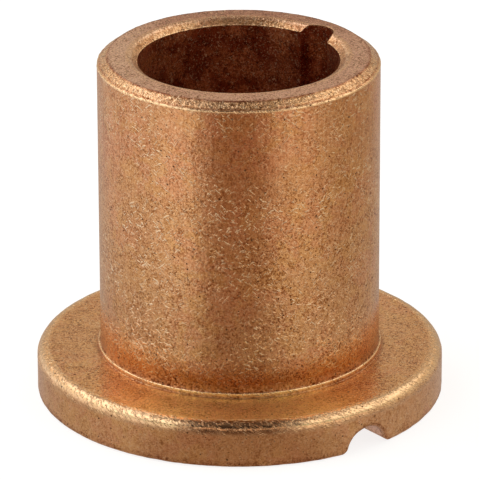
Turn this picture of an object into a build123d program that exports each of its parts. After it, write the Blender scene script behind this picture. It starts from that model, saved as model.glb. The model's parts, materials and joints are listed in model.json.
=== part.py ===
from build123d import *

import os
from math import cos, radians, sin

# Flanged sleeve bushing of sintered bronze: one pressed and sized piece.
# The thrust face of the flange lies on XY, the bore runs up Z, and all sizes are in millimetres.

# Running and press fits
bore_diameter = 15.875
sleeve_diameter = 22.225
length = 28.15

# Flange
flange_diameter = 32.35
flange_thickness = 3.7
flange_rim_radius = 0.85
flange_base_radius = 0.3

# Step where the sizing die stops above the flange, and the root fillet under it
step_width = 0.18
step_height = 0.4
root_radius = 0.25

# Lead-in on the nose: a cone that stops at a narrow flat, because a press punch has no feather edge
nose_flat_width = 0.1
nose_chamfer_width = 0.8
nose_chamfer_height = 0.56

# Lead-ins at both ends of the bore
bore_chamfer_width = 0.65
bore_chamfer_height = 0.48

# Half-round oil groove along the bore
bore_groove_radius = 1.5875
bore_groove_offset = 7.75
bore_groove_angle = 40.2

# Half-round oil groove across the thrust face, from the bore to the rim
thrust_groove_radius = 2.0
thrust_groove_depth = 1.8
thrust_groove_lip_radius = 0.5
thrust_groove_angle = -51.8

bore_radius = bore_diameter / 2
sleeve_radius = sleeve_diameter / 2
flange_radius = flange_diameter / 2
step_radius = sleeve_radius + step_width
step_top = flange_thickness + step_height
nose_shoulder = length - nose_chamfer_height

with BuildPart() as flanged_bushing:
    # Half section, turned about the bore's axis
    with BuildSketch(Plane.XZ) as section:
        with BuildLine():
            Polyline(
                (bore_radius, bore_chamfer_height),
                (bore_radius + bore_chamfer_width, 0),
                (flange_radius, 0),
                (flange_radius, flange_thickness),
                (step_radius, flange_thickness),
                (step_radius, step_top),
                (sleeve_radius, step_top),
                (sleeve_radius, nose_shoulder),
                (sleeve_radius - nose_flat_width, nose_shoulder),
                (sleeve_radius - nose_chamfer_width, length),
                (bore_radius + bore_chamfer_width, length),
                (bore_radius, length - bore_chamfer_height),
                close=True,
            )
        make_face()
        fillet(section.vertices().sort_by_distance((flange_radius, 0))[0], flange_base_radius)
        fillet(section.vertices().sort_by_distance((flange_radius, flange_thickness))[0], flange_rim_radius)
        fillet(section.vertices().sort_by_distance((step_radius, flange_thickness))[0], root_radius)
    revolve(axis=Axis.Z)

    # Oil groove in the bore, open at both ends
    with BuildSketch() as bore_groove:
        with PolarLocations(bore_groove_offset, 1, start_angle=bore_groove_angle):
            Circle(bore_groove_radius)
    extrude(amount=length, mode=Mode.SUBTRACT)

    # Oil groove in the thrust face, drawn across its own run, with rounded lips
    outward = (cos(radians(thrust_groove_angle)), sin(radians(thrust_groove_angle)), 0)
    across = (-outward[1], outward[0], 0)
    with BuildSketch(Plane(origin=(0, 0, 0), x_dir=across, z_dir=outward)) as thrust_groove:
        with Locations((0, thrust_groove_depth - thrust_groove_radius)):
            Circle(thrust_groove_radius)
        Rectangle(
            4 * thrust_groove_radius,
            2 * thrust_groove_radius,
            align=(Align.CENTER, Align.MAX),
        )
        lips = thrust_groove.vertices().group_by(Axis.Y)[-1]
        fillet(lips.sort_by(Axis.X)[1:-1], thrust_groove_lip_radius)
    extrude(amount=flange_radius, mode=Mode.SUBTRACT)

flanged_bushing.part.label = "flanged_bushing"

os.makedirs("parts", exist_ok=True)
export_step(flanged_bushing.part, "parts/flanged_bushing.step")
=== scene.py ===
"""Looks of the flanged sintered-bronze bushing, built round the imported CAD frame.

Lengths in this script are in millimetres, like the part's, and MM turns them into Blender's metres.
"""

import json
from math import acos, atan2, cos, pi, radians, sin
from types import SimpleNamespace

import bpy
import numpy as np
from mathutils import Matrix, Vector, noise


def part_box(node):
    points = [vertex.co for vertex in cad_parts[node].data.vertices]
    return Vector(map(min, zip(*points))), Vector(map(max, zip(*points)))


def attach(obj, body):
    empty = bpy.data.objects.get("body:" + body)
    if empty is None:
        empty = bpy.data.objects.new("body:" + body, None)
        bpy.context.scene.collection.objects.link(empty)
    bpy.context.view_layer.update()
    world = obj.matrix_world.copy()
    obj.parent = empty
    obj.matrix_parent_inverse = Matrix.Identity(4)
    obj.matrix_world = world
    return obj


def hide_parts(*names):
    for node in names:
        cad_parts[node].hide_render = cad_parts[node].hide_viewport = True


MM = 0.001

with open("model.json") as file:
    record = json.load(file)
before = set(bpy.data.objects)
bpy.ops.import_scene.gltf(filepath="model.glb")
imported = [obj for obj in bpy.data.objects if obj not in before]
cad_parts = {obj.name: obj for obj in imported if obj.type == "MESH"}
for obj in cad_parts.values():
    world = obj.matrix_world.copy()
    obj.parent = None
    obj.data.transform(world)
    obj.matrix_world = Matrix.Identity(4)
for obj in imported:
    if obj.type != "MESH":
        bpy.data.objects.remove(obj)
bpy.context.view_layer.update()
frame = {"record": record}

# ---------------------------------------------------------------- sizes, from the frame and its mounts

high_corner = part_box("flanged_bushing")[1]
mounts = {mount["name"]: mount for mount in frame["record"]["mounts"]}


def wall_ends(mount):
    """Lowest and highest point of a round mount's wall, along Z."""
    middle = mount["pos_m"][2] / MM
    half = mount["dims"]["length_mm"] / 2
    return middle - half, middle + half


LENGTH = high_corner.z / MM
FLANGE_RADIUS = high_corner.x / MM
FLANGE_TOP = mounts["shoulder"]["pos_m"][2] / MM
BORE_RADIUS = mounts["bore"]["dims"]["r_mm"]
SLEEVE_RADIUS = mounts["sleeve"]["dims"]["r_mm"]
BORE_CHAMFER_HEIGHT = wall_ends(mounts["bore"])[0]
STEP_TOP, NOSE_SHOULDER = wall_ends(mounts["sleeve"])

BORE_CHAMFER_WIDTH = 0.65
NOSE_CHAMFER_WIDTH = 0.8
STEP_WIDTH = 0.18
RIM_ROUND = 0.85
BASE_ROUND = 0.3
ROOT_ROUND = 0.06

# Bevel between the nose chamfer and the sleeve: its width, how far it reaches over and under the
# shoulder, and how far under it the sleeve's finish begins
BEVEL_WIDTH = 0.19
BEVEL_RISE = 0.05
BEVEL_FALL = 0.12
SLEEVE_TOP_FALL = 2.5 * BEVEL_FALL

# Step that the punch left round the nose face, and the fall of that face towards its edge
PUNCH_STEP = 0.08
PUNCH_DRAFT = 0.02
FACE_INNER = 8.5
FACE_FALL = 0.012

# Thin strips that stay of the chamfers where a groove cuts through them
CHAMFER_STRIP = 0.1
FOOT_STRIP = 0.08
STRIP_HEIGHT = 0.02

BORE_GROOVE_RADIUS = 1.5875
BORE_GROOVE_OFFSET = 7.75
BORE_GROOVE_AZIMUTH = radians(40.2)
THRUST_GROOVE_RADIUS = 2.0
THRUST_GROOVE_DEPTH = 1.8
THRUST_GROOVE_LIP = 0.5
THRUST_GROOVE_AZIMUTH = radians(-51.8)

# ---------------------------------------------------------------- mesh: columns round the axis


def bore_groove_columns(arris=0.12, arris_steps=4, arc_steps=11):
    """Signed angles from the groove's middle, and radii, of the columns that line the bore groove.

    The corner between bore and groove is rounded over the length arris on both sides of it.
    """
    offset, groove, bore = BORE_GROOVE_OFFSET, BORE_GROOVE_RADIUS, BORE_RADIUS
    corner_angle = acos((bore * bore + offset * offset - groove * groove) / (2 * bore * offset))
    corner = np.array([bore * cos(corner_angle), bore * sin(corner_angle)])
    turn = atan2(corner[1], corner[0] - offset)
    start_angle = corner_angle + arris / bore
    start = np.array([bore * cos(start_angle), bore * sin(start_angle)])
    arc_turn = turn - arris / groove
    end = np.array([offset + groove * cos(arc_turn), groove * sin(arc_turn)])
    points = []
    for step in range(arris_steps):
        t = step / arris_steps
        points.append((1 - t) ** 2 * start + 2 * t * (1 - t) * corner + t * t * end)
    for step in range(arc_steps):
        angle = arc_turn * (1 - step / arc_steps)
        points.append(np.array([offset + groove * cos(angle), groove * sin(angle)]))
    half = [(atan2(y, x), float(np.hypot(x, y))) for x, y in points]
    whole = [(-a, r) for a, r in half] + [(0.0, offset + groove)] + half[::-1]
    return np.array([a for a, r in whole]), np.array([r for a, r in whole])


def thrust_groove_columns(lip_steps=5, arc_steps=26):
    """Distances across the thrust groove, and its height over the thrust face, of the columns in it."""
    groove, lip = THRUST_GROOVE_RADIUS, THRUST_GROOVE_LIP
    centre = THRUST_GROOVE_DEPTH - groove
    lip_centre = np.sqrt((groove + lip) ** 2 - (lip - centre) ** 2)
    lean = atan2(lip - centre, lip_centre)
    side = []
    for step in range(lip_steps):
        angle = -pi / 2 - (pi / 2 - lean) * step / lip_steps
        side.append((lip_centre + lip * cos(angle), lip + lip * sin(angle)))
    arc = []
    for step in range(arc_steps + 1):
        angle = lean + (pi - 2 * lean) * step / arc_steps
        arc.append((groove * cos(angle), centre + groove * sin(angle)))
    whole = side + arc + [(-u, h) for u, h in side[::-1]]
    whole.reverse()
    return np.array([u for u, h in whole]), np.array([h for u, h in whole])


class Columns:
    """Columns of the mesh in order round the axis: thrust groove, plain arc, bore groove, plain arc.

    A column's azimuth is fixed + share * asin(across / r): in the thrust groove the columns keep their
    distance across it as r changes, and the plain arcs spread evenly over what is left.
    """

    def __init__(self, short_arc=120, long_arc=376):
        across, height = thrust_groove_columns()
        angle, radius = bore_groove_columns()
        edge, widest = across[-1], angle[-1]
        short = np.arange(1, short_arc) / short_arc
        long = np.arange(1, long_arc) / long_arc
        self.fixed = np.concatenate([
            np.full(len(across), THRUST_GROOVE_AZIMUTH),
            (1 - short) * THRUST_GROOVE_AZIMUTH + short * (BORE_GROOVE_AZIMUTH - widest),
            BORE_GROOVE_AZIMUTH + angle,
            (1 - long) * (BORE_GROOVE_AZIMUTH + widest) + long * (THRUST_GROOVE_AZIMUTH + 2 * pi),
        ])
        self.share = np.concatenate([np.ones(len(across)), 1 - short, np.zeros(len(angle)), -long])
        self.across = np.concatenate([
            across, np.full(len(short), edge), np.zeros(len(angle)), np.full(len(long), edge)])
        self.height = np.concatenate([height, np.zeros(len(short) + len(angle) + len(long))])
        self.bore = np.concatenate([
            np.full(len(across) + len(short), BORE_RADIUS), radius, np.full(len(long), BORE_RADIUS)])
        self.count = len(self.fixed)

    def azimuth(self, r):
        return self.fixed + self.share * np.arcsin(self.across / r)


# ---------------------------------------------------------------- mesh: section of each column

# Corner of the section, its rounding, intervals in that rounding, intervals to the next corner
SECTION = [
    ("bore_foot", 0.06, 2, 24),
    ("bore_mouth", 0.05, 2, 5),
    ("face_inner", 0.6, 5, 8),
    ("face_outer", 0.03, 2, 1),
    ("nose_outer", 0.02, 1, 6),
    ("bevel_inner", 0.03, 2, 1),
    ("bevel_outer", 0.15, 5, 2),
    ("sleeve_top", 0.02, 1, 34),
    ("step_inner", 0.03, 2, 1),
    ("step_outer", 0.1, 4, 1),
    ("root", ROOT_ROUND, 3, 14),
    ("rim", RIM_ROUND, 12, 8),
    ("base", BASE_ROUND, 5, 18),
    ("foot_inner", 0.1, 3, 4),
]

# A corner's round takes at most this share of the runs beside it
LONGEST_ROUND = 0.45
# Runs that are closer than this to one line have a corner so flat that its round would never end
STRAIGHT_COSINE = 0.9999

# How each surface was made, from 0 to 1, for the material to read at every point of the mesh:
# coarse is open grain that no die has ironed, face the duller, pinker metal of the punched ends, worn the
# polish of edges, oily the old oil in the bore together with painted shade in creases and recesses,
# and drawn the streaks of the sizing die
PLACES = ["coarse", "face", "worn", "oily", "drawn"]
SURFACES = {
    "bore_foot": (0.9, 0.0, 0.3, 0.2, 0.0),
    "bore_foot_run": (0.8, 0.0, 0.0, 1.0, 0.1),
    "bore_mouth": (0.9, 0.0, 0.8, 0.0, 0.0),
    "bore_mouth_run": (1.0, 0.0, 0.4, 0.3, 0.0),
    "face_inner": (0.6, 0.6, 0.5, 0.0, 0.0),
    "face_inner_run": (0.5, 1.0, 0.0, 0.0, 0.0),
    "face_outer": (0.8, 0.6, 0.0, 0.65, 0.0),
    "face_outer_run": (1.0, 0.3, 0.0, 0.9, 0.0),
    "nose_outer": (1.0, 0.0, 0.3, 0.85, 0.0),
    "nose_outer_run": (1.0, 0.0, 0.58, 0.0, 0.0),
    "bevel_inner": (1.0, 0.0, 0.0, 0.45, 0.0),
    "bevel_inner_run": (0.3, 0.0, 1.0, 0.0, 0.0),
    "bevel_outer": (0.1, 0.0, 1.0, 0.0, 0.0),
    "bevel_outer_run": (0.35, 0.0, 0.0, 0.0, 1.0),
    "sleeve_top": (0.35, 0.0, 0.0, 0.0, 1.0),
    "sleeve_top_run": (0.35, 0.0, 0.0, 0.0, 1.0),
    "step_inner": (0.6, 0.0, 0.0, 0.7, 0.0),
    "step_inner_run": (0.4, 0.0, 0.6, 0.0, 0.0),
    "step_outer": (0.2, 0.0, 1.0, 0.0, 0.0),
    "step_outer_run": (0.4, 0.0, 0.0, 0.45, 0.0),
    "root": (0.5, 0.0, 0.0, 0.6, 0.0),
    "root_run": (0.5, 0.0, 0.1, 0.0, 0.0),
    "rim": (0.2, 0.0, 1.0, 0.1, 0.0),
    "rim_low": (0.2, 0.0, 0.8, 0.25, 0.0),
    "rim_run": (0.15, 0.0, 0.1, 0.1, 0.6),
    "base": (0.5, 0.0, 0.2, 0.5, 0.0),
    "base_run": (0.3, 1.0, 0.0, 0.0, 0.0),
    "foot_inner": (0.8, 0.5, 0.3, 0.2, 0.0),
    "foot_inner_run": (1.0, 0.1, 0.2, 0.25, 0.0),
}


def section_corners(columns):
    """Radius and height of each corner of the section, one row of corners for each column."""
    bore, height = columns.bore, columns.height
    chamfer = BORE_RADIUS + BORE_CHAMFER_WIDTH
    slope = BORE_CHAMFER_HEIGHT / BORE_CHAMFER_WIDTH
    chamfer_height = np.clip(chamfer - bore, 0, None) * slope
    chamfer_edge = np.maximum(chamfer, bore + CHAMFER_STRIP)
    cut_edge = np.maximum(chamfer - height / slope, bore + FOOT_STRIP)
    foot_edge = np.where(height > 0, cut_edge, chamfer_edge)
    flat = np.ones(columns.count)
    nose_inner = SLEEVE_RADIUS - NOSE_CHAMFER_WIDTH
    bevel_inner = SLEEVE_RADIUS - BEVEL_WIDTH
    step = SLEEVE_RADIUS + STEP_WIDTH
    corners = [
        (bore, np.maximum(chamfer_height, height + STRIP_HEIGHT)),
        (bore, LENGTH - chamfer_height),
        (chamfer_edge, LENGTH * flat),
        (nose_inner * flat, LENGTH * flat),
        ((nose_inner + PUNCH_DRAFT) * flat, (LENGTH - PUNCH_STEP) * flat),
        (bevel_inner * flat, (NOSE_SHOULDER + BEVEL_RISE) * flat),
        (SLEEVE_RADIUS * flat, (NOSE_SHOULDER - BEVEL_FALL) * flat),
        (SLEEVE_RADIUS * flat, (NOSE_SHOULDER - SLEEVE_TOP_FALL) * flat),
        (SLEEVE_RADIUS * flat, STEP_TOP * flat),
        (step * flat, STEP_TOP * flat),
        (step * flat, FLANGE_TOP * flat),
        (FLANGE_RADIUS * flat, FLANGE_TOP * flat),
        (FLANGE_RADIUS * flat, height),
        (foot_edge, height),
    ]
    return np.array(corners).transpose(2, 0, 1)


def rounded_section(corners):
    """Points of every column's closed section, each corner rounded by an arc, and each ring's name."""
    rings, names = [], []
    count = len(SECTION)
    tangents = []
    for i, (name, radius, arc_steps, run_steps) in enumerate(SECTION):
        here = corners[:, i]
        back = corners[:, i - 1] - here
        ahead = corners[:, (i + 1) % count] - here
        back_length = np.linalg.norm(back, axis=1, keepdims=True)
        ahead_length = np.linalg.norm(ahead, axis=1, keepdims=True)
        back, ahead = back / back_length, ahead / ahead_length
        cosine = np.clip((back * ahead).sum(1, keepdims=True), -STRAIGHT_COSINE, STRAIGHT_COSINE)
        half = np.arccos(cosine) / 2
        reach = np.minimum(radius / np.tan(half), LONGEST_ROUND * np.minimum(back_length, ahead_length))
        actual = reach * np.tan(half)
        middle = back + ahead
        straight = np.linalg.norm(middle, axis=1) < 1e-3
        middle[straight] = np.stack([-back[straight, 1], back[straight, 0]], axis=1)
        middle /= np.linalg.norm(middle, axis=1, keepdims=True)
        centre = here + middle * actual / np.sin(half)
        first, last = here + back * reach, here + ahead * reach
        sweep = pi - 2 * half
        arc = []
        for step in range(arc_steps + 1):
            t = step / arc_steps
            turned = np.sin((1 - t) * sweep) * (first - centre) + np.sin(t * sweep) * (last - centre)
            arc.append(centre + turned / np.sin(sweep))
        tangents.append(arc)
    for i, (name, radius, arc_steps, run_steps) in enumerate(SECTION):
        rings += tangents[i]
        names += [name] * (arc_steps + 1)
        start, end = tangents[i][-1], tangents[(i + 1) % count][0]
        for step in range(1, run_steps):
            rings.append(start + (end - start) * step / run_steps)
            names.append(name + "_run")
    return np.array(rings), names


def column_radius(rings, names):
    """The r at which each ring takes its azimuths: its own on the thrust face, elsewhere a slow change."""
    own = np.clip(rings[:, :, 0], BORE_RADIUS, FLANGE_RADIUS)
    first = next(i for i, z in enumerate(rings[:, 0, 1]) if z > 1.5 * THRUST_GROOVE_DEPTH)
    last = names.index("rim")
    below = names.index("base")
    t = np.clip((np.arange(len(rings)) - first) / (last - first), 0, 1)
    slow = BORE_RADIUS + (FLANGE_RADIUS - BORE_RADIUS) * t * t * (3 - 2 * t)
    return np.where((np.arange(len(rings)) < below)[:, None], slow[:, None], own)


def ring_normals(points):
    """Normals of a grid of rings and columns, closed both ways, each face weighted by its area."""
    right = np.roll(points, -1, axis=1)
    above = np.roll(points, -1, axis=0)
    across = np.roll(right, -1, axis=0)
    faces = np.cross(right - above, across - points)
    corners = faces + np.roll(faces, 1, axis=0)
    corners = corners + np.roll(corners, 1, axis=1)
    return corners / np.linalg.norm(corners, axis=2, keepdims=True)


# ---------------------------------------------------------------- mesh: wear and form


def noise_field(points, scale, seed):
    """Smooth noise from -1 to 1 at each point, with features about 1 / scale millimetres across."""
    shift = Vector((17.3 * seed, -9.1 * seed, 5.7 * seed))
    flat = points.reshape(-1, 3) * scale
    values = [noise.noise(Vector(p) + shift) for p in flat.tolist()]
    return np.array(values).reshape(points.shape[:2])


# Waves of the sizing die, drawn out along Z, and broad waves everywhere
DIE_WAVES = 0.006
DIE_WAVES_STRETCH = 0.06
BROAD_WAVES = 0.004
# Wander of the worn edges, fine and broad
RAGGED_EDGES = [
    "bore_mouth", "bore_mouth_run", "face_outer", "nose_outer", "nose_outer_run",
    "bevel_inner", "bevel_outer", "step_outer", "rim", "rim_low", "base"]
FINE_WANDER = 0.014
BROAD_WANDER = 0.02
# Thin bead under the nose chamfer, how uneven it is, and the crease over it
BEAD_HEIGHT = 0.01
BEAD_UNEVEN = 0.025
BEAD_CREASE = 0.03


def wear(points, names):
    """How far each point stands out of the perfect form, in millimetres, along its normal."""
    ring = np.array(names)
    drawn_out = np.stack([points[:, :, 0], points[:, :, 1], points[:, :, 2] * DIE_WAVES_STRETCH], axis=2)
    offset = DIE_WAVES * noise_field(drawn_out, 0.9, 1) + BROAD_WAVES * noise_field(points, 0.35, 2)
    ragged = FINE_WANDER * noise_field(points, 2.2, 3) + BROAD_WANDER * noise_field(points, 0.9, 4)
    offset += np.where(np.isin(ring, RAGGED_EDGES)[:, None], ragged, 0)
    on_bead = np.isin(ring, ["bevel_outer", "bevel_inner_run"])
    bead = BEAD_HEIGHT + BEAD_UNEVEN * noise_field(points, 1.6, 5)
    offset += np.where(on_bead[:, None], bead, 0)
    offset -= np.where((ring == "bevel_inner")[:, None], BEAD_CREASE, 0)
    outwards = np.clip(np.hypot(points[:, :, 0], points[:, :, 1]) - FACE_INNER, 0, None)
    on_face = np.isin(ring, ["face_inner_run", "face_outer"])
    offset -= np.where(on_face[:, None], FACE_FALL * outwards ** 2, 0)
    for place in DENTS:
        offset += dent(points, *place)
    return offset


# Dents seen in the photograph: radius, azimuth and height of the middle, rise along the dent, its length,
# width and depth
DENTS = [
    (FLANGE_RADIUS, -35.6, 2.5, 0.13, 0.7, 0.13, 0.10),
    (FLANGE_RADIUS, -147.8, 2.82, 0.0, 0.22, 0.16, 0.08),
    (SLEEVE_RADIUS, -112.6, 23.0, 0.6, 0.35, 0.12, 0.03),
    (SLEEVE_RADIUS, -124.4, 22.2, 0.3, 0.30, 0.12, 0.03),
    (SLEEVE_RADIUS, -109.6, 23.5, -0.4, 0.30, 0.12, 0.03),
    (SLEEVE_RADIUS, -137.4, 6.1, 0.5, 0.35, 0.12, 0.03),
]


def dent(points, radius, azimuth, height, rise, length, width, depth):
    """How far a shallow dent lowers each point. It runs round the axis, rising as it goes."""
    turn = radians(azimuth)
    away = points - np.array([radius * cos(turn), radius * sin(turn), height])
    along = np.array([-sin(turn), cos(turn), rise]) / np.hypot(1.0, rise)
    lengthwise = away @ along
    aside = np.linalg.norm(away - lengthwise[:, :, None] * along, axis=2)
    return -depth * np.exp(-((lengthwise / length) ** 2) - (aside / width) ** 2)


LOW_RIM_RINGS = 4


def name_special_rings(names):
    """The ring names, with the low part of the rim told apart and the bore's finish up to its mouth."""
    low_rim = [row for row, name in enumerate(names) if name == "rim"][-LOW_RIM_RINGS:]
    names = ["rim_low" if row in low_rim else name for row, name in enumerate(names)]
    names[names.index("bore_mouth")] = "bore_foot_run"
    return names


def build_bushing():
    """The bushing's mesh: one closed grid of quads from the bore over the nose and flange to the base."""
    columns = Columns()
    rings, names = rounded_section(section_corners(columns))
    names = name_special_rings(names)
    azimuth = columns.azimuth(column_radius(rings, names))
    points = np.stack([
        rings[:, :, 0] * np.cos(azimuth), rings[:, :, 0] * np.sin(azimuth), rings[:, :, 1]], axis=2)
    normals = ring_normals(points)
    wall = names.index("bevel_outer_run")
    outward = normals * np.sign((normals[wall] * points[wall]).sum())
    points = points + outward * wear(points, names)[:, :, None]
    lowest = np.array([-FLANGE_RADIUS, -FLANGE_RADIUS, 0])
    highest = np.array([FLANGE_RADIUS, FLANGE_RADIUS, LENGTH])
    points = np.clip(points, lowest, highest)
    outward = ring_normals(points) * np.sign((normals * outward).sum())

    ring_count, column_count = points.shape[:2]
    index = np.arange(ring_count * column_count).reshape(ring_count, column_count)
    right = np.roll(index, -1, axis=1)
    above = np.roll(index, -1, axis=0)
    across = np.roll(right, -1, axis=0)
    quads = np.stack([index, right, across, above], axis=2).reshape(-1, 4)
    mesh = bpy.data.meshes.new("bushing")
    mesh.from_pydata((points * MM).reshape(-1, 3).tolist(), [], quads.tolist())
    mesh.polygons.foreach_set("use_smooth", np.ones(len(quads), bool))
    for row, place in enumerate(PLACES):
        layer = mesh.attributes.new(place, "FLOAT", "POINT")
        values = np.array([SURFACES[name][row] for name in names])
        layer.data.foreach_set("value", np.repeat(values, column_count).astype(np.float32))
    mesh.validate()
    if (mesh.polygons[0].normal @ Vector(outward[0, 0])) < 0:
        mesh.flip_normals()
    mesh.normals_split_custom_set_from_vertices(outward.reshape(-1, 3).tolist())
    piece = bpy.data.objects.new("bushing", mesh)
    bpy.context.scene.collection.objects.link(piece)
    return piece


# ---------------------------------------------------------------- materials

# Colours of the metal, and of light painted on it
GOLD = (0.90, 0.505, 0.22)
COPPER = (0.88, 0.45, 0.228)
BROWN_GOLD = (0.84, 0.47, 0.225)
LIGHT_GOLD = (0.95, 0.59, 0.34)
PUNCHED_PINK = (0.86, 0.53, 0.415)
# Painted light on the left of the nose face
PAINTED_LIGHT_PINK = (0.98, 0.68, 0.53)
WORN_GOLD = (0.95, 0.62, 0.35)
# Painted sheen on the front of the flange top
SHEEN_GOLD = (1.0, 0.78, 0.37)
BURNISHED = (1.0, 0.76, 0.52)
SPARKLE = (1.0, 0.72, 0.46)
PORE = (0.10, 0.03, 0.010)

# Tints, which are multiplied into the colour under them
FLECK_TINT = (0.86, 0.79, 0.70)
UPPER_TINT = (0.96, 0.91, 0.94)
# Painted shade at the back of the nose face
BACK_SHADE_TINT = (0.72, 0.55, 0.48)
# Painted shade on the front of the rim
RIM_SHADE_TINT = (0.5, 0.42, 0.38)
GRAIN_TINT = (0.42, 0.24, 0.11)
SPECK_TINT = (0.42, 0.29, 0.17)
STREAK_TINT = (0.75, 0.66, 0.58)
CREVICE_TINT = (0.45, 0.36, 0.28)
BORE_TINT = (1.0, 0.70, 0.58)
# Old oil in the bore, and painted shade in creases and recesses
STAIN_AND_SHADE_TINT = (0.34, 0.13, 0.08)
# Painted shade at the foot of the sleeve, and more of it at the front
FOOT_SHADE_TINT = (0.64, 0.5, 0.33)
FOOT_FRONT_SHADE_TINT = (0.78, 0.62, 0.70)

WHITE = (1.0, 1.0, 1.0)


class Tree:
    """A material's or world's node tree, with short ways to add nodes."""

    def __init__(self, owner):
        owner.use_nodes = True
        self.tree = owner.node_tree
        self.tree.nodes.clear()

    def add(self, kind, inputs=(), **settings):
        made = self.tree.nodes.new(kind)
        for name, value in settings.items():
            setattr(made, name, value)
        for name, value in dict(inputs).items():
            self.set(made.inputs[name], value)
        return made

    def set(self, socket, value):
        """Link a socket to another node's output, or give it a value; a colour is red, green and blue."""
        if isinstance(value, bpy.types.NodeSocket):
            self.tree.links.new(value, socket)
        elif socket.type == "RGBA":
            socket.default_value = (*value, 1.0)
        else:
            socket.default_value = value

    def math(self, operation, first, second=0.0, third=0.0):
        made = self.add("ShaderNodeMath", {0: first, 1: second, 2: third}, operation=operation)
        return made.outputs[0]

    def product(self, first, *others):
        total = first
        for factor in others:
            total = self.math("MULTIPLY", total, factor)
        return total

    def weighted_sum(self, *terms):
        """Sum of several textures, each with its weight."""
        total = 0.0
        for texture, weight in terms:
            total = self.math("MULTIPLY_ADD", texture, weight, total)
        return total

    def vector(self, operation, first, second=(0.0, 0.0, 0.0)):
        made = self.add("ShaderNodeVectorMath", {0: first, 1: second}, operation=operation)
        return made.outputs["Vector"]

    def length(self, vector):
        return self.add("ShaderNodeVectorMath", {0: vector}, operation="LENGTH").outputs["Value"]

    def distance(self, first, second):
        node = self.add("ShaderNodeVectorMath", {0: first, 1: second}, operation="DISTANCE")
        return node.outputs["Value"]

    def split(self, vector):
        """The X, Y and Z of a vector."""
        part = self.add("ShaderNodeSeparateXYZ", {"Vector": vector})
        return part.outputs["X"], part.outputs["Y"], part.outputs["Z"]

    def noise(self, where, scale, detail=2.0, roughness=0.5, distortion=0.0):
        made = self.add("ShaderNodeTexNoise", {
            "Vector": where, "Scale": scale, "Detail": detail,
            "Roughness": roughness, "Distortion": distortion})
        return made.outputs["Fac"]

    def ramp(self, value, low, high, to_low=0.0, to_high=1.0, smooth=True):
        """From to_low where value is at low, to to_high where it is at high, and no further."""
        made = self.add("ShaderNodeMapRange", {
            "Value": value, "From Min": low, "From Max": high, "To Min": to_low, "To Max": to_high},
            interpolation_type="SMOOTHSTEP" if smooth else "LINEAR")
        return made.outputs["Result"]

    def scaled(self, value, at_none, at_full, full=1.0):
        """From at_none where value is 0, in a straight line, to at_full where it is full."""
        return self.ramp(value, 0.0, full, at_none, at_full, smooth=False)

    def mix(self, share, first, second, blend="MIX"):
        """From the first colour to the second. Sockets are given by number, as several share a name."""
        made = self.add("ShaderNodeMix", data_type="RGBA", blend_type=blend)
        self.set(made.inputs[0], share)
        self.set(made.inputs[6], first)
        self.set(made.inputs[7], second)
        return made.outputs[2]

    def tinted(self, colour, share, tint):
        """The colour with a tint multiplied in where share is 1."""
        return self.mix(share, colour, self.mix(1.0, colour, tint, "MULTIPLY"))


def read_surface(t):
    """What the material knows of each point: its place in millimetres, and the mesh's values for it."""
    where = t.vector("MULTIPLY", t.add("ShaderNodeTexCoord").outputs["Object"], (1 / MM, 1 / MM, 1 / MM))
    x, y, z = t.split(where)
    radius = t.length(t.vector("MULTIPLY", where, (1.0, 1.0, 0.0)))
    values = {name: t.add("ShaderNodeAttribute", attribute_name=name).outputs["Fac"] for name in PLACES}
    return SimpleNamespace(where=where, x=x, y=y, z=z, radius=radius, **values)


def front_of_flange(t, s):
    """Shares of the flange's front, towards -Y: near it, its top with painted sheen, its rim with painted
    shade.
    """
    away = t.distance(s.where, (0.0, -FLANGE_RADIUS, FLANGE_TOP))
    near = t.ramp(away, 12.0, 5.0)
    front_sheen = t.product(
        near,
        t.ramp(s.radius, SLEEVE_RADIUS + 0.1, SLEEVE_RADIUS + 0.3),
        t.ramp(s.radius, FLANGE_RADIUS - 0.5, FLANGE_RADIUS - 1.0),
        t.ramp(s.z, FLANGE_TOP - 1.2, FLANGE_TOP - 0.6))
    front_rim_shade = t.product(
        t.ramp(away, 5.5, 2.5),
        t.ramp(s.radius, FLANGE_RADIUS - 0.8, FLANGE_RADIUS - 0.5),
        t.ramp(s.z, FLANGE_TOP - 1.1, FLANGE_TOP - 0.7))
    return near, front_sheen, front_rim_shade


def bare_metal(t, s, front_sheen, front_rim_shade):
    """Tints of the metal: gold, copper, brown, pinker where punched, lighter where worn; painted light and
    shade.
    """
    mottle = t.noise(s.where, 0.55, detail=3.0, roughness=0.6, distortion=0.6)
    patch = t.noise(s.where, 0.2)
    fleck = t.noise(s.where, 1.5, detail=3.0, roughness=0.6, distortion=1.0)
    colour = t.mix(t.ramp(mottle, 0.42, 0.58), GOLD, COPPER)
    colour = t.mix(t.ramp(patch, 0.42, 0.6, 0.0, 0.7), colour, BROWN_GOLD)
    colour = t.tinted(colour, t.ramp(fleck, 0.46, 0.34), FLECK_TINT)
    colour = t.mix(t.ramp(fleck, 0.56, 0.68, 0.0, 0.4), colour, LIGHT_GOLD)
    colour = t.tinted(colour, t.ramp(s.z, 13.0, 25.0), UPPER_TINT)

    colour = t.mix(t.product(s.face, 0.9), colour, PUNCHED_PINK)
    nose_face = t.product(s.face, t.ramp(s.z, LENGTH - 2.0, LENGTH - 1.0))
    # Painted shade towards the back of the nose face, and painted light on its left
    colour = t.tinted(colour, t.product(nose_face, t.ramp(s.y, 1.0, 9.0)), BACK_SHADE_TINT)
    left = t.product(nose_face, t.ramp(s.x, -5.0, -9.5))
    colour = t.mix(t.product(left, 0.7), colour, PAINTED_LIGHT_PINK)

    colour = t.mix(t.product(s.worn, 0.8), colour, WORN_GOLD)
    # Painted sheen on the front of the flange top
    shine = t.product(front_sheen, t.ramp(fleck, 0.35, 0.6, 0.6, 1.0))
    colour = t.mix(shine, colour, SHEEN_GOLD)
    # Painted shade on the front of the rim
    return t.tinted(colour, front_rim_shade, RIM_SHADE_TINT)


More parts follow.
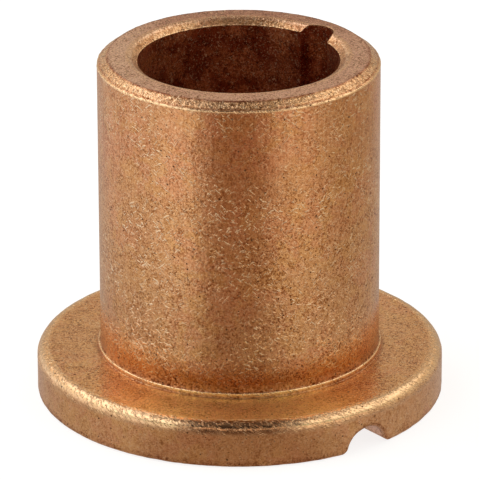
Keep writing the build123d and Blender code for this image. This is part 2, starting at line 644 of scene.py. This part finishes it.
def grain_cover(t, s, front_sheen):
    """How thick the dark grain lies: less on ironed and worn metal, under the painted sheen, and on the
    upper sleeve.
    """
    upper = t.product(s.drawn, t.ramp(s.z, 16.0, 26.0))
    return t.product(
        t.ramp(t.noise(s.where, 0.7, roughness=0.6), 0.38, 0.60, 0.55, 1.0),
        t.scaled(s.coarse, 0.3, 1.0, full=0.5),
        t.scaled(s.worn, 1.0, 0.35),
        t.scaled(front_sheen, 1.0, 0.75),
        t.scaled(upper, 1.0, 0.75))


def pore_layer(t, where, scale, most, rarity):
    """Open pores: dark round pits, some of the cells of a Voronoi pattern, of mixed size."""
    cells = t.add("ShaderNodeTexVoronoi", {"Vector": where, "Scale": scale, "Randomness": 1.0})
    chance = t.add("ShaderNodeSeparateColor", {"Color": cells.outputs["Color"]}).outputs["Red"]
    size = t.ramp(chance, rarity, 1.0, 0.0, most * scale, smooth=False)
    return t.ramp(t.math("SUBTRACT", size, cells.outputs["Distance"]), 0.0, 0.02 * scale)


def open_pores(t, s):
    """Small pores in clusters, and a few large ones."""
    cluster = t.ramp(t.noise(s.where, 0.5), 0.35, 0.62, 0.55, 1.0)
    small = t.product(pore_layer(t, s.where, 4.5, 0.065, 0.3), cluster)
    large = pore_layer(t, s.where, 2.0, 0.1, 0.45)
    return t.math("MAXIMUM", small, large)


def scuffs(t, s, lean, tilt, width, length, seed):
    """Short strokes, from a stretched noise: lean turns it along a helix, tilt shears it upwards."""
    level = t.math("MULTIPLY_ADD", s.x, tilt, t.math("MULTIPLY_ADD", s.y, -tilt / 2, s.z))
    sheared = t.add("ShaderNodeCombineXYZ", {"X": s.x, "Y": s.y, "Z": level}).outputs["Vector"]
    angle = t.product(s.z, lean / SLEEVE_RADIUS)
    twisted = t.add("ShaderNodeVectorRotate", {"Vector": sheared, "Angle": angle},
                    rotation_type="Z_AXIS").outputs["Vector"]
    stretched = t.vector("MULTIPLY", twisted, (1 / width, 1 / width, 1 / length))
    shifted = t.vector("ADD", stretched, (seed * 11.7, seed * 5.3, seed * 7.9))
    return t.noise(shifted, 1.0, detail=1.0, distortion=0.1)


# Families of scuffs on the sleeve, and the scars across the rim: lean, tilt, width and height
SLEEVE_SCUFFS = [
    (1.0, 0.0, 0.17, 0.5),
    (-0.8, 0.0, 0.17, 0.45),
    (0.0, 0.3, 0.6, 0.16),
    (0.0, -0.4, 0.5, 0.16),
]
RIM_SCARS = (1.1, 0.0, 0.22, 0.6)
RIM_SCARS_SEED = 3


def sleeve_strokes(t, s):
    """Burnished strokes on the sleeve, and the wider burr that each of them raises."""
    crowd = t.product(
        t.ramp(t.noise(s.where, 0.22, detail=1.0), 0.38, 0.6, 0.3, 1.0),
        t.ramp(s.drawn, 0.5, 0.9))
    highest = 0.0
    for seed, family in enumerate(SLEEVE_SCUFFS):
        highest = t.math("MAXIMUM", highest, scuffs(t, s, *family, seed))
    return t.product(t.ramp(highest, 0.68, 0.72), crowd), t.product(t.ramp(highest, 0.63, 0.78), crowd)


def oil_and_painted_shade(t, s, colour, glint, near):
    """Old oil in bore and grooves, painted shade in creases and at the sleeve's foot, grains shining
    through.
    """
    colour = t.tinted(colour, t.ramp(s.oily, 0.9, 1.0), BORE_TINT)
    # Old oil in the bore, with painted shade in the creases, recesses, inner chamfer and root
    cloud = t.noise(s.where, 0.45, detail=4.0, roughness=0.65)
    stain_and_shade = t.product(s.oily, t.ramp(cloud, 0.42, 0.6, 1.0, 0.4))
    colour = t.tinted(colour, t.product(stain_and_shade, 0.92), STAIN_AND_SHADE_TINT)

    sparkle = t.product(
        t.ramp(glint, 0.585, 0.65),
        t.scaled(s.coarse, 0.35, 0.9, full=0.5),
        t.scaled(s.oily, 1.0, 0.6, full=0.6))
    colour = t.mix(sparkle, colour, SPARKLE)

    # Painted shade at the foot of the sleeve, darker towards the flange and darker still at the front
    foot = t.product(
        t.ramp(s.z, 7.0, STEP_TOP + 0.5),
        s.drawn,
        t.ramp(s.radius, SLEEVE_RADIUS + 0.3, SLEEVE_RADIUS + 0.2))
    colour = t.tinted(colour, foot, FOOT_SHADE_TINT)
    return t.tinted(colour, t.product(foot, near), FOOT_FRONT_SHADE_TINT)


def relief(t, s, grain, glint, streak, pore, burr):
    """Height of the surface, in millimetres."""
    scars = t.ramp(scuffs(t, s, *RIM_SCARS, RIM_SCARS_SEED), 0.51, 0.65)
    scars = t.product(scars, t.ramp(s.worn, 0.4, 0.7))
    profile = t.add("ShaderNodeCombineXYZ", {"X": s.radius, "Y": s.z}).outputs["Vector"]
    turning_marks = t.noise(profile, 7.0, roughness=0.6)
    lumps = t.noise(s.where, 2.2, detail=1.0)
    crumbs = t.noise(s.where, 4.5, detail=1.0, roughness=0.6)
    dings = t.noise(s.where, 3.4, detail=1.5, roughness=0.6)
    pebbles = t.ramp(t.noise(s.where, 3.6, roughness=0.6, distortion=0.4), 0.42, 0.6)
    fine = t.product(
        t.weighted_sum((grain, 0.006), (crumbs, 0.012), (glint, 0.005)),
        t.scaled(s.coarse, 0.5, 2.0),
        t.scaled(s.worn, 1.0, 0.5))
    return t.weighted_sum(
        (fine, 1.0),
        (lumps, 0.014),
        (pore, -0.02),
        (burr, 0.022),
        (scars, 0.04),
        (t.product(pebbles, s.coarse, t.math("SUBTRACT", 1.0, s.oily), s.coarse), 0.012),
        (t.product(dings, s.worn), 0.015),
        (t.product(turning_marks, s.face), 0.006),
        (t.product(streak, s.drawn), 0.003))


def sintered_bronze():
    """Bronze pressed from powder and ironed by a die: grain, open pores, mottled tints, dark creases."""
    material = bpy.data.materials.new("sintered_bronze")
    t = Tree(material)
    s = read_surface(t)
    near, front_sheen, front_rim_shade = front_of_flange(t, s)
    colour = bare_metal(t, s, front_sheen, front_rim_shade)

    # Grain and specks, darker and redder than the metal round them
    grain = t.noise(s.where, 6.5, detail=1.5, roughness=0.7, distortion=0.5)
    speck = t.noise(s.where, 4.5, roughness=0.6, distortion=1.0)
    cover = grain_cover(t, s, front_sheen)
    colour = t.tinted(colour, t.product(t.ramp(grain, 0.53, 0.40), cover), GRAIN_TINT)
    colour = t.tinted(colour, t.product(t.ramp(speck, 0.46, 0.38), cover), SPECK_TINT)

    # Streaks that the die left along the sleeve
    streak = t.noise(t.vector("MULTIPLY", s.where, (1.0, 1.0, 0.04)), 4.5, roughness=0.6)
    streak_share = t.product(t.ramp(streak, 0.52, 0.34), s.drawn, t.ramp(s.z, 15.0, 26.0, 0.3, 0.7))
    colour = t.tinted(colour, streak_share, STREAK_TINT)

    pore = open_pores(t, s)
    colour = t.mix(t.product(pore, 0.92), colour, PORE)
    strokes, burr = sleeve_strokes(t, s)
    colour = t.mix(t.product(strokes, 0.9), colour, BURNISHED)

    # Dark crevices between the grains where no die has ironed them
    crevice = t.ramp(t.noise(s.where, 5.0, detail=1.0, distortion=0.4), 0.5, 0.4)
    colour = t.tinted(colour, t.product(crevice, t.ramp(s.coarse, 0.6, 1.0), 0.65), CREVICE_TINT)

    # Grains that catch the light
    glint = t.noise(t.vector("ADD", s.where, (31.0, 7.0, 13.0)), 4.5, roughness=0.65, distortion=1.6)
    colour = oil_and_painted_shade(t, s, colour, glint, near)

    height = relief(t, s, grain, glint, streak, pore, burr)
    bump = t.add("ShaderNodeBump", {"Height": height, "Strength": 1.0, "Distance": MM})
    roughness = t.math("ADD", t.ramp(speck, 0.3, 0.7, 0.28, 0.2), t.weighted_sum(
        (s.face, 0.05), (s.worn, -0.05), (pore, 0.3), (s.coarse, 0.06), (s.oily, 0.22), (front_sheen, 0.12)))
    shade = t.add("ShaderNodeBsdfPrincipled", {
        "Base Color": colour, "Metallic": 1.0, "Normal": bump.outputs["Normal"], "Roughness": roughness})
    out = t.add("ShaderNodeOutputMaterial")
    t.set(out.inputs["Surface"], shade.outputs["BSDF"])
    return material


def white_paper():
    """Matt paper that glows a little, so that it stays pale and still takes a soft shadow."""
    material = bpy.data.materials.new("white_paper")
    t = Tree(material)
    shade = t.add("ShaderNodeBsdfPrincipled", {
        "Base Color": (0.35, 0.35, 0.35), "Roughness": 0.9, "Specular IOR Level": 0.0,
        "Emission Color": WHITE, "Emission Strength": 0.8})
    out = t.add("ShaderNodeOutputMaterial")
    t.set(out.inputs["Surface"], shade.outputs["BSDF"])
    return material


# ---------------------------------------------------------------- studio


FLOOR_RADIUS = 12000.0
FLOOR_HEIGHT = -0.02
SHADOW_RADIUS = 60.0
SHADOW_CORE = 18.0
SHADOW_HEIGHT = -0.01


def disc(name, radius, z, material, segments=128):
    """A flat round sheet, part of the studio and not of the object."""
    turns = [2 * pi * i / segments for i in range(segments)]
    corners = [(radius * MM * cos(a), radius * MM * sin(a), z * MM) for a in turns]
    mesh = bpy.data.meshes.new(name)
    mesh.from_pydata(corners, [], [list(range(segments))])
    mesh.materials.append(material)
    sheet = bpy.data.objects.new(name, mesh)
    bpy.context.scene.collection.objects.link(sheet)
    return sheet


def sideways(t, direction):
    """A direction's Z, and cosine and sine of its azimuth from the camera's side towards the right."""
    x, y, z = t.split(direction)
    length = t.math("SQRT", t.math("ADD", t.product(x, x), t.product(y, y)))
    ahead = t.math("DIVIDE", t.product(y, -1.0), length)
    return ahead, t.math("DIVIDE", x, length), z


def light_tent():
    """A light tent round the bushing, given by direction: paper below, then two bright strips on each side
    with a duller one between them, a gap where the camera stands, and a dim top.
    """
    world = bpy.data.worlds.new("light_tent")
    bpy.context.scene.world = world
    t = Tree(world)
    ahead, right, up = sideways(t, t.add("ShaderNodeTexCoord").outputs["Generated"])
    rightward = t.ramp(right, -0.4, 0.4)
    in_front = t.ramp(t.math("MULTIPLY_ADD", right, -0.06, ahead), 0.81, 0.955)
    behind = t.ramp(ahead, -0.6, -1.0)

    # The paper that the bushing stands on
    paper_right = t.mix(t.ramp(ahead, 0.1, 0.6), (0.48, 0.39, 0.28), (0.71, 0.60, 0.47))
    paper_left = t.mix(t.ramp(ahead, 0.2, 0.6), (0.73, 0.66, 0.60), (0.90, 0.83, 0.74))
    paper = t.mix(rightward, paper_left, paper_right)
    paper = t.mix(behind, paper, (0.55, 0.48, 0.42))
    paper = t.mix(in_front, paper, (0.35, 0.212, 0.135))

    # The lower strip, just over the horizon
    low_right = t.mix(t.ramp(ahead, 0.1, 0.6), (0.68, 0.62, 0.5), (1.12, 1.02, 0.9))
    low = t.mix(rightward, (1.08, 1.12, 1.12), low_right)
    low = t.mix(behind, low, (0.5, 0.46, 0.38))
    low = t.mix(in_front, low, (0.09, 0.06, 0.045))

    # The duller strip over it, with a bright window over the camera
    between = t.mix(rightward, (1.2, 1.25, 1.1), (0.85, 0.85, 0.7))
    between_near = t.mix(rightward, (0.45, 0.66, 0.55), (0.42, 0.56, 0.45))
    between = t.mix(t.ramp(ahead, 0.1, 0.4), between, between_near)
    between_back = t.mix(rightward, (0.90, 0.74, 0.51), (0.68, 0.54, 0.37))
    between = t.mix(t.ramp(ahead, -0.3, -0.8), between, between_back)
    between = t.mix(in_front, between, (2.1, 1.8, 1.5))

    # The upper strip, the brightest
    high = t.mix(rightward, (1.8, 1.85, 1.9), (1.45, 1.45, 1.35))
    high = t.mix(t.ramp(ahead, -0.8, -1.0), high, (0.35, 0.33, 0.3))
    high = t.mix(t.ramp(ahead, 0.62, 0.86), high, (0.03, 0.02, 0.02))

    # All of them, by height, and the dim top
    cloth = t.mix(t.ramp(up, -0.3, 0.0), paper, low)
    cloth = t.mix(t.ramp(up, 0.28, 0.4), cloth, between)
    cloth = t.mix(t.ramp(up, 0.46, 0.58), cloth, high)
    cloth = t.mix(t.ramp(up, 0.84, 0.94), cloth, (0.17, 0.14, 0.12))
    seen = t.add("ShaderNodeLightPath").outputs["Is Camera Ray"]
    shade = t.add("ShaderNodeBackground", {"Color": t.mix(seen, cloth, WHITE)})
    out = t.add("ShaderNodeOutputWorld")
    t.set(out.inputs["Surface"], shade.outputs["Background"])


def contact_shadow():
    """The bushing's shade on the paper round its foot, seen only in the metal's reflections."""
    material = bpy.data.materials.new("contact_shadow")
    t = Tree(material)
    place = t.add("ShaderNodeTexCoord").outputs["Object"]
    ahead = sideways(t, place)[0]
    shade = t.add("ShaderNodeEmission", {
        "Color": t.mix(t.ramp(ahead, 0.75, 0.98), (0.51, 0.45, 0.40), (0.34, 0.25, 0.19))})
    clear = t.add("ShaderNodeBsdfTransparent")
    blend = t.add("ShaderNodeMixShader", {
        "Fac": t.ramp(t.length(place), SHADOW_CORE * MM, SHADOW_RADIUS * MM),
        1: shade.outputs["Emission"],
        2: clear.outputs["BSDF"]})
    out = t.add("ShaderNodeOutputMaterial")
    t.set(out.inputs["Surface"], blend.outputs["Shader"])
    sheet = disc("contact_shadow", SHADOW_RADIUS, SHADOW_HEIGHT, material)
    sheet.visible_camera = False
    sheet.visible_shadow = False
    sheet.visible_diffuse = False


def build_studio():
    """The paper under the bushing, its shade there, and the light tent round both."""
    floor = disc("floor", FLOOR_RADIUS, FLOOR_HEIGHT, white_paper())
    floor.visible_glossy = False
    floor.visible_shadow = False
    contact_shadow()
    light_tent()


CAMERA_PLACE = (0.0, -381.0, 169.0)
CAMERA_PITCH = radians(-22.341)
CAMERA_YAW = radians(0.008)
CAMERA_ROLL = radians(-0.194)
SENSOR_WIDTH = 36.0
FOCAL_LENGTH = 389.43
CLIP_NEAR = 10.0
CLIP_FAR = 50000.0


def build_camera():
    """The photograph's view: a long lens, a little over 22 degrees above the horizon."""
    camera_data = bpy.data.cameras.new("camera")
    camera_data.sensor_width = SENSOR_WIDTH
    camera_data.lens = FOCAL_LENGTH
    camera_data.clip_start = CLIP_NEAR * MM
    camera_data.clip_end = CLIP_FAR * MM
    camera = bpy.data.objects.new("camera", camera_data)
    camera.location = Vector(CAMERA_PLACE) * MM
    turn = (Matrix.Rotation(-CAMERA_YAW, 4, "Z")
            @ Matrix.Rotation(pi / 2 + CAMERA_PITCH, 4, "X")
            @ Matrix.Rotation(CAMERA_ROLL, 4, "Z"))
    camera.rotation_mode = "QUATERNION"
    camera.rotation_quaternion = turn.to_quaternion()
    bpy.context.scene.collection.objects.link(camera)
    bpy.context.scene.camera = camera
    bpy.context.scene.view_settings.view_transform = "Standard"


build_camera()
build_studio()

bushing = build_bushing()
bushing.data.materials.append(sintered_bronze())
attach(bushing, "root")
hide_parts("flanged_bushing")
